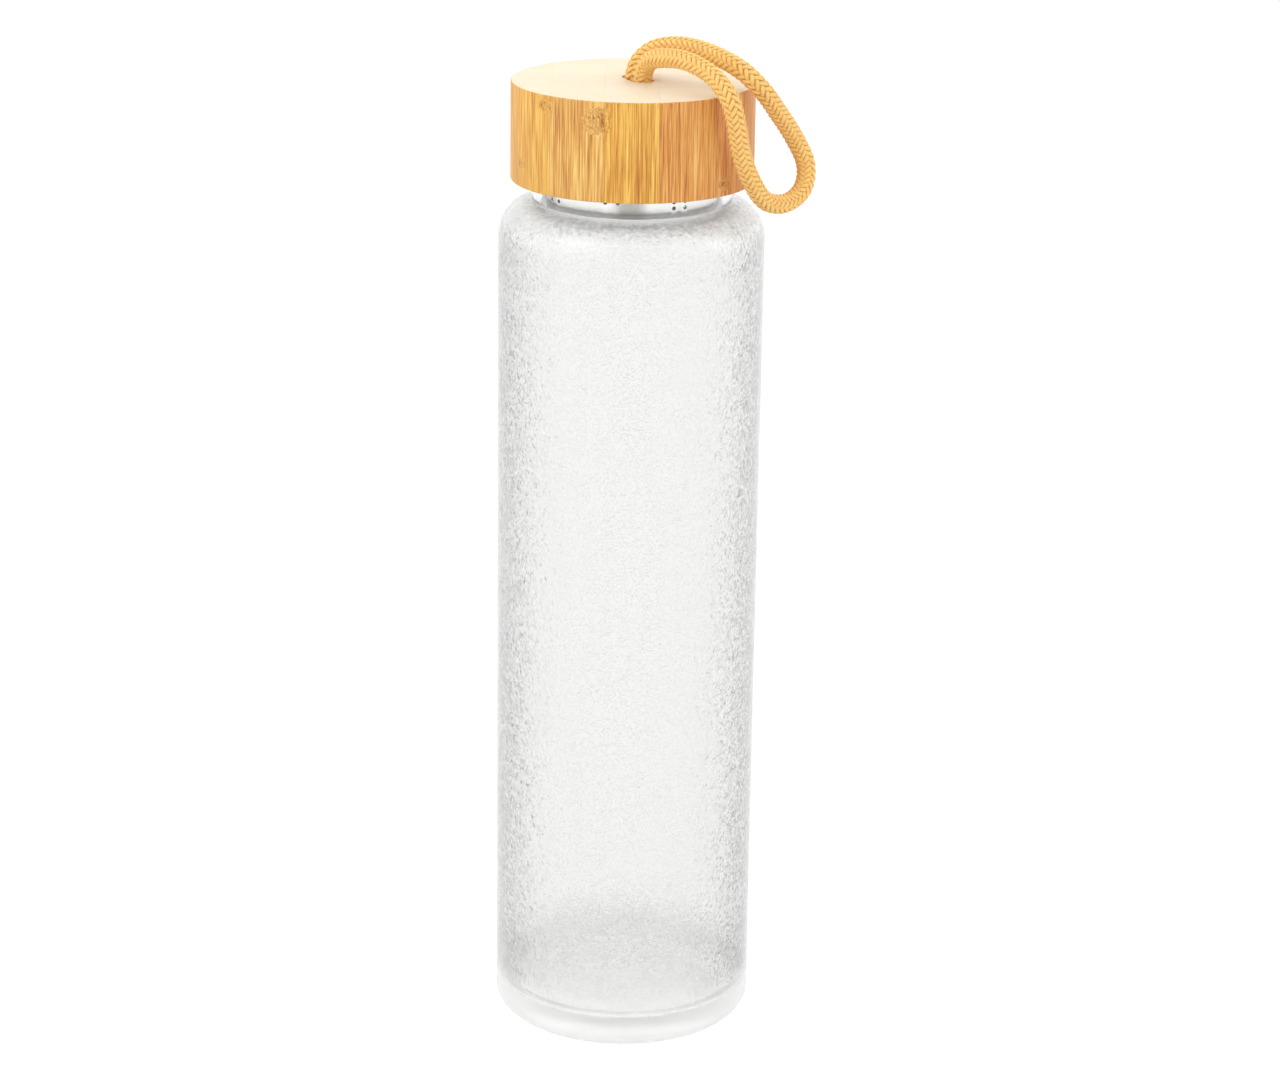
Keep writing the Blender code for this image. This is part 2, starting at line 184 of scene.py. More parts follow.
class Nodes:
    """Short ways to add nodes to a node tree."""

    def __init__(self, tree):
        self.tree = tree

    def put(self, socket, value):
        """Links a socket to a value that comes from a node, or sets it."""
        if isinstance(value, bpy.types.NodeSocket):
            self.tree.links.new(value, socket)
        else:
            socket.default_value = value

    def node(self, kind, inputs=(), **settings):
        made = self.tree.nodes.new("ShaderNode" + kind)
        for name, value in settings.items():
            setattr(made, name, value)
        for name, value in dict(inputs).items():
            self.put(made.inputs[name], value)
        return made

    def math(self, operation, *values):
        made = self.node("Math", operation=operation)
        for socket, value in zip(made.inputs, values):
            self.put(socket, value)
        return made.outputs[0]

    def vector_math(self, operation, *values):
        made = self.node("VectorMath", operation=operation)
        for socket, value in zip(made.inputs, values):
            self.put(socket, value)
        return made.outputs["Value"] if operation == "DOT_PRODUCT" else made.outputs[0]

    def place_in_mm(self):
        """The point on the surface in the piece's own frame, in millimetres."""
        place = self.node("TexCoord").outputs["Object"]
        return self.vector_math("MULTIPLY", place, (1 / MM, 1 / MM, 1 / MM))

    def axes(self, vector):
        return self.node("SeparateXYZ", {"Vector": vector}).outputs

    def vector(self, x, y, z):
        return self.node("CombineXYZ", {"X": x, "Y": y, "Z": z}).outputs[0]

    def away(self, across, along):
        """The length of the flat vector (across, along)."""
        squares = self.math("ADD", self.math("POWER", across, 2.0), self.math("POWER", along, 2.0))
        return self.math("SQRT", squares)

    def noise(self, vector, scale, detail=2.0, roughness=0.5):
        inputs = {"Vector": vector, "Scale": scale, "Detail": detail, "Roughness": roughness}
        return self.node("TexNoise", inputs).outputs[0]

    def cells(self, vector, scale, feature):
        return self.node("TexVoronoi", {"Vector": vector, "Scale": scale}, feature=feature).outputs

    def ease(self, value, start, end, low=0.0, high=1.0):
        """A smooth step from low to high as value goes from start to end."""
        inputs = {"Value": value, "From Min": start, "From Max": end, "To Min": low, "To Max": high}
        return self.node("MapRange", inputs, interpolation_type="SMOOTHSTEP").outputs[0]

    def sum(self, start, *parts):
        """start and each part's value times its share."""
        total = start
        for value, share in parts:
            total = self.math("MULTIPLY_ADD", value, share, total)
        return total

    def mix(self, factor, low, high):
        """A colour between low and high."""
        made = self.node("Mix", {MIX_FACTOR: factor}, data_type="RGBA")
        for number, colour in zip(MIX_COLOURS, (low, high)):
            self.put(made.inputs[number], (*colour, 1.0) if isinstance(colour, tuple) else colour)
        return made.outputs[MIX_COLOUR_RESULT]

    def ramp(self, factor, stops, interpolation="LINEAR"):
        """A colour by its place among stops of (place, colour)."""
        made = self.node("ValToRGB", {"Fac": factor})
        made.color_ramp.interpolation = interpolation
        for place, _ in stops[1:-1]:
            made.color_ramp.elements.new(place)
        for element, (place, colour) in zip(made.color_ramp.elements, stops):
            element.position = place
            element.color = (*colour, 1.0)
        return made.outputs[0]

    def bump(self, height, distance, strength=1.0):
        inputs = {"Height": height, "Distance": distance, "Strength": strength}
        return self.node("Bump", inputs).outputs[0]


class Shader(Nodes):
    """One material with its Principled shader; named values go to the shader's sockets."""

    def __init__(self, name, **values):
        self.material = bpy.data.materials.new(name)
        self.material.use_nodes = True
        super().__init__(self.material.node_tree)
        self.finish(**values)

    def finish(self, **values):
        surface = self.tree.nodes["Principled BSDF"]
        for socket, value in values.items():
            self.put(surface.inputs[socket.replace("_", " ")], value)
        return self.material


# ---------------------------------------------------------------- mesh helpers


def arc(centre, radii, start, end, steps):
    """Points (radius, height) along an ellipse's arc, angles in degrees, both ends included."""
    for step in range(steps + 1):
        angle = math.radians(start + (end - start) * step / steps)
        yield (centre[0] + radii[0] * math.cos(angle), centre[1] + radii[1] * math.sin(angle))


def straight(first, last, steps):
    """Points along a straight line, leaving out its last point."""
    for step in range(steps):
        share = step / steps
        yield tuple(a + (b - a) * share for a, b in zip(first, last))


def turned(name, outline, steps, radius_at=None):
    """A closed surface turned about Z.

    outline is a list of (radius, height). It is a closed loop, or it starts and ends on the axis.
    radius_at(radius, height, angle) may change a point's radius.
    """
    mesh = bmesh.new()
    rows = []
    for radius, height in outline:
        if radius < ON_AXIS:
            rows.append([mesh.verts.new((0, 0, height))] * steps)
            continue
        row = []
        for step in range(steps):
            angle = 2 * math.pi * step / steps
            reach = radius_at(radius, height, angle) if radius_at else radius
            row.append(mesh.verts.new((reach * math.cos(angle), reach * math.sin(angle), height)))
        rows.append(row)
    closes_on_axis = outline[0][0] < ON_AXIS
    for row, following in zip(rows, rows[1:] if closes_on_axis else rows[1:] + rows[:1]):
        for step in range(steps):
            after = (step + 1) % steps
            corners = [row[step], row[after], following[after], following[step]]
            mesh.faces.new(list(dict.fromkeys(corners)))
    return mesh_object(name, mesh)


def mesh_object(name, mesh):
    bmesh.ops.recalc_face_normals(mesh, faces=mesh.faces)
    data = bpy.data.meshes.new(name)
    mesh.to_mesh(data)
    mesh.free()
    made = bpy.data.objects.new(name, data)
    bpy.context.scene.collection.objects.link(made)
    return made


def smooth(made, angle):
    """Smooth shading, with sharp edges above an angle in degrees."""
    made.data.shade_smooth()
    made.data.set_sharp_from_angle(angle=math.radians(angle))


def finish_piece(made, material, body, slot, *nodes):
    """Gives a piece its material and its body, and hides the CAD nodes that it stands for."""
    made.data.materials.append(material)
    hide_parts(*nodes)
    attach(made, body)


def thread_height(height, angle, bead_top, turns, radius):
    """How far a rounded thread bead stands out of its cylinder at one point, with its ends running out."""
    most = 0.0
    for start in range(THREAD_STARTS):
        first = 2 * math.pi * start / THREAD_STARTS
        behind = (first - angle) % (2 * math.pi) / (2 * math.pi)
        for turn in (behind, behind - 1):
            past_first = turn + BEAD_END_TURNS
            before_last = turns + BEAD_END_TURNS - turn
            run_out = min(1.0, past_first / BEAD_RUN_OUT_TURNS, before_last / BEAD_RUN_OUT_TURNS)
            if run_out <= 0:
                continue
            off = height - (bead_top - THREAD_LEAD * turn)
            reach = radius * math.sqrt(run_out)
            if abs(off) < reach:
                most = max(most, math.sqrt(reach**2 - off**2) * BEAD_FLATTENING)
    return most


# ---------------------------------------------------------------- the cord


# From the knot up through the lid, round the loop and back down, in millimetres.
CORD_ROUTE = [
    Vector(point) * MM
    for point in (
        (2.1, -0.8, 237.2),
        (2.1, -0.8, 240.6),
        (2.6, -1.5, 244.0),
        (4.1, -3.5, 246.5),
        (7.3, -7.9, 247.9),
        (12.7, -14.7, 248.4),
        (18.6, -20.6, 246.1),
        (22.6, -24.3, 241.2),
        (24.3, -24.4, 234.9),
        (25.6, -22.8, 228.3),
        (27.9, -20.6, 221.8),
        (31.6, -16.9, 215.8),
        (36.9, -11.7, 214.1),
        (41.0, -7.4, 216.7),
        (41.7, -4.9, 222.2),
        (38.7, -5.8, 228.8),
        (34.6, -9.8, 235.5),
        (30.6, -13.2, 241.4),
        (25.5, -12.2, 246.1),
        (19.1, -6.4, 248.6),
        (12.0, -0.7, 249.6),
        (5.6, 2.8, 248.4),
        (1.6, 3.9, 245.2),
        (0.2, 4.0, 241.2),
        (0.1, 4.0, 237.2),
    )
]
ROUTE_STEPS = 24
FIRST_SIDE = (0.3, 1.0, 0.2)
STRANDS_EACH_WAY = 8
WEAVES_ROUND = 4
WEAVE_STEEPNESS = 2.2
BRAID_PITCH = 12.4 * MM
BRAID_STEP = 0.31 * MM
STRAND_SIDES = 8
STRAND_HALF_WIDTH = 0.60 * MM
STRAND_HALF_THICKNESS = 0.44 * MM
STRAND_SHIFT = 7 * MM
WEAVE_RISE = 0.30 * MM
CORE_SIDES = 12
CORE_EVERY = 3

KNOT_TURNS = 1.35
KNOT_STEPS = 27
KNOT_ROUTE_STEPS = 8
KNOT_STEP = BRAID_STEP * 1.5


def smooth_route(points, steps):
    """A Catmull-Rom curve through the points, its end points included."""
    ends = [points[0] * 2 - points[1], *points, points[-1] * 2 - points[-2]]
    route = []
    for before, here, there, after in zip(ends, ends[1:], ends[2:], ends[3:]):
        for step in range(steps):
            t = step / steps
            bend = before * -1 + here * 3 - there * 3 + after
            turn = before * 2 - here * 5 + there * 4 - after
            route.append((here * 2 + (there - before) * t + turn * t**2 + bend * t**3) / 2)
    return [*route, points[-1]]


def even_points(route, step):
    """The same route as points an even distance apart, close to step, as an array."""
    points = np.array(route)
    run = np.concatenate([[0], np.cumsum(np.linalg.norm(np.diff(points, axis=0), axis=1))])
    places = np.linspace(0, run[-1], round(run[-1] / step) + 1)
    return np.stack([np.interp(places, run, points[:, axis]) for axis in range(3)], axis=1), places


def unit(vectors):
    return vectors / np.linalg.norm(vectors, axis=1)[:, None]


def frames_along(points):
    """Two directions across the route at each of its points, which turn as little as they can."""
    along = unit(np.gradient(points, axis=0))
    side = np.cross(along[0], FIRST_SIDE)
    sides = []
    for direction in along:
        side = side - direction * side.dot(direction)
        side /= np.linalg.norm(side)
        sides.append(side)
    sides = np.array(sides)
    return sides, np.cross(along, sides)


def oval_rings(centres, across, up, half_width, half_height, sides):
    """An oval of points round each centre, lying in that centre's across and up."""
    around = np.arange(sides) * 2 * math.pi / sides
    wide = (half_width * np.cos(around))[None, :, None]
    high = (half_height * np.sin(around))[None, :, None]
    return centres[:, None] + across[:, None] * wide + up[:, None] * high


def tube_faces(mesh, rings, lengths, uv_layer):
    """Joins rings of points into a closed tube, with UV u round it and v its length in millimetres."""
    sides = rings.shape[1]
    verts = [[mesh.verts.new(point) for point in ring] for ring in rings]
    for row in range(len(verts) - 1):
        for side in range(sides):
            after = (side + 1) % sides
            corners = (
                (verts[row][side], side, row),
                (verts[row][after], side + 1, row),
                (verts[row + 1][after], side + 1, row + 1),
                (verts[row + 1][side], side, row + 1),
            )
            face = mesh.faces.new([corner[0] for corner in corners])
            for loop, (_, u, v) in zip(face.loops, corners):
                loop[uv_layer].uv = (u / sides, lengths[v] / MM)
    mesh.faces.new(verts[0][::-1])
    mesh.faces.new(verts[-1])


def strand_rings(points, side, up, angle, way, middle):
    """One strand's rings: it winds round points and rises and sinks where it crosses the others."""
    wave = np.cos(WEAVES_ROUND * (angle - math.pi / (2 * STRANDS_EACH_WAY)))
    rise = way * np.tanh(WEAVE_STEEPNESS * wave) / math.tanh(WEAVE_STEEPNESS)
    out = side * np.cos(angle)[:, None] + up * np.sin(angle)[:, None]
    centre = points + out * (middle + WEAVE_RISE * rise)[:, None]
    along = unit(np.gradient(centre, axis=0))
    across = unit(np.cross(along, out))
    lift = np.cross(across, along)
    return oval_rings(centre, across, lift, STRAND_HALF_WIDTH, STRAND_HALF_THICKNESS, STRAND_SIDES)


def braid(name, points, lengths, diameter):
    """A round braid of cotton strands along points, over two and under two, round a plain core."""
    mesh = bmesh.new()
    uv_layer = mesh.loops.layers.uv.new("strand")
    side, up = frames_along(points)
    middle = diameter / 2 - WEAVE_RISE - STRAND_HALF_THICKNESS
    for way in (1, -1):
        for strand in range(STRANDS_EACH_WAY):
            angle = way * 2 * math.pi * lengths / BRAID_PITCH + 2 * math.pi * strand / STRANDS_EACH_WAY
            rings = strand_rings(points, side, up, angle, way, middle)
            tube_faces(mesh, rings, lengths + strand * STRAND_SHIFT, uv_layer)
    core = middle - WEAVE_RISE
    thinned = slice(None, None, CORE_EVERY)
    rings = oval_rings(points[thinned], side[thinned], up[thinned], core, core, CORE_SIDES)
    tube_faces(mesh, rings, lengths[thinned], uv_layer)
    made = mesh_object(name, mesh)
    made.data.shade_smooth()
    return made


COTTON_DARK = (0.78, 0.37, 0.075)
COTTON_LIGHT = (0.99, 0.70, 0.245)
# The colour of the painted shade at the strands' edges, where the gaps between strands fall dark.
COTTON_PAINTED_SHADE = (0.45, 0.18, 0.028)
YARNS_ROUND = 9.0
YARN_TURNS_PER_MM = 0.9


def cotton():
    """Dyed cotton strands: twisted yarns with loose fibres, and painted shade at each strand's two edges."""
    shader = Shader("mustard_cotton", Roughness=0.9)
    u, v, _ = shader.axes(shader.node("UVMap", uv_map="strand").outputs[0])
    yarn = shader.math("MULTIPLY_ADD", v, YARN_TURNS_PER_MM, shader.math("MULTIPLY", u, YARNS_ROUND))
    twist = shader.math("SINE", shader.math("MULTIPLY", yarn, 2 * math.pi))
    fibre = shader.noise(shader.vector(shader.math("MULTIPLY", u, 30.0), v, 0.0), 1.3, 3.0, 0.6)
    blotch = shader.noise(shader.place_in_mm(), 0.35, 3.0)
    tone = shader.math("MULTIPLY_ADD", fibre, 0.6, shader.math("MULTIPLY", blotch, 0.5))
    colour = shader.mix(tone, COTTON_DARK, COTTON_LIGHT)
    # Painted shade: each strand is darkened towards its two edges, as if shadowed by the strands beside it.
    painted_edge_shade = shader.math("ABSOLUTE", shader.math("COSINE", shader.math("MULTIPLY", u, 2 * math.pi)))
    colour = shader.mix(shader.ease(painted_edge_shade, 0.5, 1.0, 0.0, 0.55), colour, COTTON_PAINTED_SHADE)
    height = shader.math("MULTIPLY_ADD", twist, 0.35, fibre)
    return shader.finish(
        Base_Color=colour,
        Normal=shader.bump(height, 0.06 * MM, 0.8),
        Sheen_Weight=0.3,
        Sheen_Roughness=0.5,
        Sheen_Tint=(1.0, 0.85, 0.6, 1.0),
    )


def make_knot():
    """The knot under the lid's top: the cord's end wound round, rising as it goes."""
    low = bottom("cord_knot") + CORD_DIAMETER / 2
    rise = top("cord_knot") - bottom("cord_knot") - CORD_DIAMETER
    ring = outer_radius("cord_knot") - CORD_DIAMETER / 2
    route = []
    for step in range(KNOT_STEPS + 1):
        share = step / KNOT_STEPS
        angle = 2 * math.pi * KNOT_TURNS * share
        route.append(Vector((ring * math.cos(angle), ring * math.sin(angle), low + rise * share)))
    points, lengths = even_points(smooth_route(route, KNOT_ROUTE_STEPS), KNOT_STEP)
    return braid("knot_braid", points, lengths, CORD_DIAMETER)


def make_cord():
    points, lengths = even_points(smooth_route(CORD_ROUTE, ROUTE_STEPS), BRAID_STEP)
    cord = braid("cord_braid", points, lengths, CORD_DIAMETER)
    knot = make_knot()
    material = cotton()
    finish_piece(cord, material, "lid", "mustard_cotton", "cord_loop")
    finish_piece(knot, material, "lid", "mustard_cotton", "cord_knot")


# ---------------------------------------------------------------- the glass bottle


def bottle_outline():
    """The wall as a closed run from the axis: punt, base, outside, rim, inside and the inner floor."""
    inner = BODY_RADIUS - BODY_WALL
    shoulder_foot = SHOULDER_TOP - SHOULDER_DROP
    outline = [(radius * MM, height * MM) for radius, height in PUNT]
    outline += [(RING_INNER, 0.15 * MM), (RING_INNER + 0.4 * MM, 0)]
    outline += arc((BODY_RADIUS - HEEL_RADIUS, HEEL_RADIUS), (HEEL_RADIUS, HEEL_RADIUS), -90, 0, 12)
    outline += straight((BODY_RADIUS, HEEL_RADIUS + 4 * MM), (BODY_RADIUS, shoulder_foot), 12)
    outline += arc((NECK_RADIUS, shoulder_foot), (BODY_RADIUS - NECK_RADIUS, SHOULDER_DROP), 0, 80, 18)
    fillet = (NECK_RADIUS + OUTER_FILLET, SHOULDER_TOP + OUTER_FILLET)
    outline += arc(fillet, (OUTER_FILLET, OUTER_FILLET), 262, 180, 8)
    rim = (NECK_RADIUS - RIM_RADIUS, RIM_TOP - RIM_RADIUS)
    outline += straight((NECK_RADIUS, fillet[1] + 0.2 * MM), (NECK_RADIUS, rim[1]), 34)
    outline += arc(rim, (RIM_RADIUS, RIM_RADIUS), 0, 180, 12)
    ceiling = shoulder_foot + INNER_SHOULDER_DROP
    fillet = (NECK_BORE + INNER_FILLET, ceiling + INNER_FILLET)
    outline += arc(fillet, (INNER_FILLET, INNER_FILLET), 180, 262, 8)
    outline += arc((NECK_BORE, shoulder_foot), (inner - NECK_BORE, INNER_SHOULDER_DROP), 77, 0, 14)
    corner = (inner - FLOOR_CORNER, FLOOR_TOP + FLOOR_CORNER - FLOOR_FLATTENING)
    outline += straight((inner, shoulder_foot - 4 * MM), (inner, corner[1]), 12)
    outline += arc(corner, (FLOOR_CORNER, FLOOR_CORNER - FLOOR_FLATTENING), 0, -90, 8)
    outline += [(14 * MM, FLOOR_TOP), (0, FLOOR_TOP)]
    return outline


def neck_thread(radius, height, angle):
    """The neck's outside with its two thread beads; every other point keeps its radius."""
    if abs(radius - NECK_RADIUS) > SAME_RADIUS:
        return radius
    return radius + thread_height(height, angle, NECK_BEAD_TOP, NECK_BEAD_TURNS, NECK_BEAD_RADIUS)


GLASS_COLOUR = (0.976, 0.976, 0.968, 1.0)
# Heights and widths in millimetres; the scales are in cells or waves to the millimetre.
CRACKLE_START, CRACKLE_FULL = 213.2, 212.4
CRACKLE_EDGE_SCALE = 0.12
CRACK_SCALE, CRACK_WIDTH, CRACK_DEPTH = 1.3, 0.22, 0.22
FACET_SCALE, FACET_SLOPE = 1.5, 2.4
BEND_SCALE, BEND_REACH = 0.9, 1.6
GRAIN_SCALE, GRAIN_DEPTH = 6.0, 0.06
BASE_START, BASE_FULL = 16.0, 6.0
BASE_FROST, BASE_SMOOTHING = 0.7, 0.6
CRACKLE_HAZE, RING_HAZE, SKIN_HAZE = 0.12, 0.12, 0.36
SKIN_ROUGHNESS = 0.28
HALF = (0.5, 0.5, 0.5)


def crackle_height(shader, place, grain):
    """The crackle's relief: tilted facets, with a groove round each and a fine grain."""
    bend = shader.node("TexNoise", {"Vector": place, "Scale": BEND_SCALE, "Detail": 2.0}).outputs["Color"]
    bend = shader.vector_math("SUBTRACT", bend, HALF)
    bend = shader.vector_math("MULTIPLY", bend, (BEND_REACH, BEND_REACH, BEND_REACH))
    bent = shader.vector_math("ADD", place, bend)
    cracks = shader.cells(bent, CRACK_SCALE, "DISTANCE_TO_EDGE")
    groove = shader.ease(cracks["Distance"], 0.0, CRACK_WIDTH)
    facets = shader.cells(bent, FACET_SCALE, "F1")
    tilt = shader.vector_math("SUBTRACT", facets["Color"], HALF)
    across = shader.vector_math("SUBTRACT", bent, facets["Position"])
    facet = shader.vector_math("DOT_PRODUCT", tilt, across)
    height = shader.math("MULTIPLY", groove, CRACK_DEPTH)
    return shader.sum(height, (facet, FACET_SLOPE), (grain, GRAIN_DEPTH))


def frosted_glass():
    """Clear glass outside; inside, from the shoulder down, a rough crackle of fine facets and lines.

    A little of the glass is an even white haze: the crackle, the shoulder's ring and the foot's skin.
    """
    shader = Shader("frosted_glass", IOR=1.5)
    place = shader.place_in_mm()
    x, y, z = shader.axes(place)
    radius = shader.away(x, y)
    inner_side = (BODY_RADIUS - 0.7 * BODY_WALL) / MM
    outer_side = (BODY_RADIUS - 0.4 * BODY_WALL) / MM
    inside = shader.ease(radius, outer_side, inner_side)
    edge = shader.math("MULTIPLY_ADD", shader.noise(place, CRACKLE_EDGE_SCALE), 1.0, z)
    crackled = shader.math("MULTIPLY", shader.ease(edge, CRACKLE_START, CRACKLE_FULL), inside)
    base = shader.ease(z, BASE_START, BASE_FULL)
    frost = shader.math("MAXIMUM", crackled, shader.math("MULTIPLY", base, BASE_FROST))

    grain = shader.noise(place, GRAIN_SCALE, 3.0, 0.6)
    depth = shader.math("MULTIPLY", crackled, shader.math("MULTIPLY_ADD", base, -BASE_SMOOTHING, 1.0))
    relief = shader.math("MULTIPLY", crackle_height(shader, place, grain), depth)

    heel = shader.math("MULTIPLY", shader.ease(z, 6.0, 5.0), shader.ease(radius, 23.0, 25.0))
    skin = shader.math("MAXIMUM", shader.math("SUBTRACT", 1.0, inside), heel)
    skin = shader.math("MULTIPLY", skin, shader.ease(z, 17.0, 6.0))
    ring = shader.math("MULTIPLY", shader.ease(z, 203.0, 208.5), shader.ease(z, 214.0, 212.6))
    haze = shader.sum(shader.math("MULTIPLY", ring, RING_HAZE), (frost, CRACKLE_HAZE), (skin, SKIN_HAZE))
    roughness = shader.math("MULTIPLY", frost, shader.ease(grain, 0.2, 0.8, 0.06, 0.16))
    return shader.finish(
        Base_Color=GLASS_COLOUR,
        Transmission_Weight=shader.math("SUBTRACT", 1.0, haze),
        Roughness=shader.math("MULTIPLY_ADD", skin, SKIN_ROUGHNESS, roughness),
        Normal=shader.bump(relief, 0.10 * MM, 0.7),
    )


def make_bottle():
    bottle = turned("bottle_glass", bottle_outline(), 160, neck_thread)
    smooth(bottle, 60)
    finish_piece(bottle, frosted_glass(), "bottle", "frosted_glass", "glass_bottle")


# ---------------------------------------------------------------- the bamboo lid


KNUCKLES = (
    # x, z and their half sizes in millimetres, on the front (-1) or the back (1) of the lid
    (-8.4, 236.6, 3.4, 3.4, -1),
    (-20.6, 238.6, 1.6, 1.6, -1),
    (-27.0, 223.2, 1.2, 1.4, -1),
    (21.8, 220.2, 1.4, 1.6, -1),
    (11.5, 226.0, 3.4, 2.6, 1),
    (-17.0, 232.5, 2.6, 2.2, 1),
)

# The strips' shift and pitch from left to right and from front to back, in millimetres.
STRIP_X, STRIP_WIDTH = 6.6, 12.9
STRIP_Y, STRIP_DEPTH = 2.6, 7.4

# Each strip's colour from the lid's left to its right, as shares of the fibres' colour.
STRIP_HUES = (
    (0.96, 1.00, 0.74),
    (1.02, 1.14, 1.18),
    (1.04, 1.10, 0.80),
    (0.98, 0.90, 0.86),
    (0.97, 0.91, 1.00),
)

# The fibres' colour from dark to light, by tone.
FIBRE_COLOURS = (
    (0.10, (0.34, 0.110, 0.022)),
    (0.40, (0.57, 0.235, 0.050)),
    (0.62, (0.73, 0.370, 0.092)),
    (0.95, (0.88, 0.570, 0.200)),
)
GLUE_COLOUR = (0.40, 0.16, 0.04)
KNUCKLE_COLOUR = (0.48, 0.20, 0.05)
PIT_COLOUR = (0.16, 0.065, 0.02)
# The sawn ends' colours: their grain and glue lines, lightened into a painted sheen of the light from above.
SAWN_PAINTED_SHEEN_DARK = (0.66, 0.53, 0.335)
SAWN_PAINTED_SHEEN_LIGHT = (0.77, 0.675, 0.515)
SAWN_PAINTED_SHEEN_GLUE = (0.62, 0.40, 0.18)


def lid_outline():
    """The lid's outline from the middle of its top, down the outside and up inside to the knot's pocket."""
    hidden_top = top("thread_insert") + LID_GAP
    bore = outer_radius("thread_insert") + LID_GAP
    side = LID_RADIUS - LID_EDGE
    edge = (LID_EDGE, LID_EDGE)
    outline = [(0, LID_TOP), (12 * MM, LID_TOP), (20 * MM, LID_TOP)]
    outline += arc((side, LID_TOP - LID_EDGE), edge, 90, 0, 4)
    outline += arc((side, LID_BOTTOM + LID_EDGE), edge, 0, -90, 4)
    outline += [(bore + 0.2 * MM, LID_BOTTOM), (bore, LID_BOTTOM + 0.2 * MM)]
    outline += [(bore, hidden_top), (KNOT_POCKET, hidden_top)]
    outline += [(KNOT_POCKET, KNOT_POCKET_TOP), (0, KNOT_POCKET_TOP)]
    return outline


def cord_hole():
    """The oblong hole round the cord's two legs, flared where it opens at the lid's top."""
    first, second = CORD_ROUTE[0], CORD_ROUTE[-1]
    turn = math.degrees(math.atan2(second.y - first.y, second.x - first.x))
    sizes = (
        (0, LID_TOP - 8 * MM),
        (0, LID_TOP - 0.4 * MM),
        (0.12 * MM, LID_TOP - 0.12 * MM),
        (CORD_HOLE_FLARE, LID_TOP + 0.4 * MM),
    )
    mesh = bmesh.new()
    rings = []
    for flare, height in sizes:
        radii = (CORD_HOLE + flare, CORD_HOLE + flare)
        outline = list(arc((second.x, second.y), radii, turn - 90, turn + 90, 24))
        outline += arc((first.x, first.y), radii, turn + 90, turn + 270, 24)
        rings.append([mesh.verts.new((x, y, height)) for x, y in outline])
    for low, high in zip(rings, rings[1:]):
        for i in range(len(low)):
            mesh.faces.new((low[i - 1], low[i], high[i], high[i - 1]))
    mesh.faces.new(rings[0][::-1])
    mesh.faces.new(rings[-1])
    return mesh


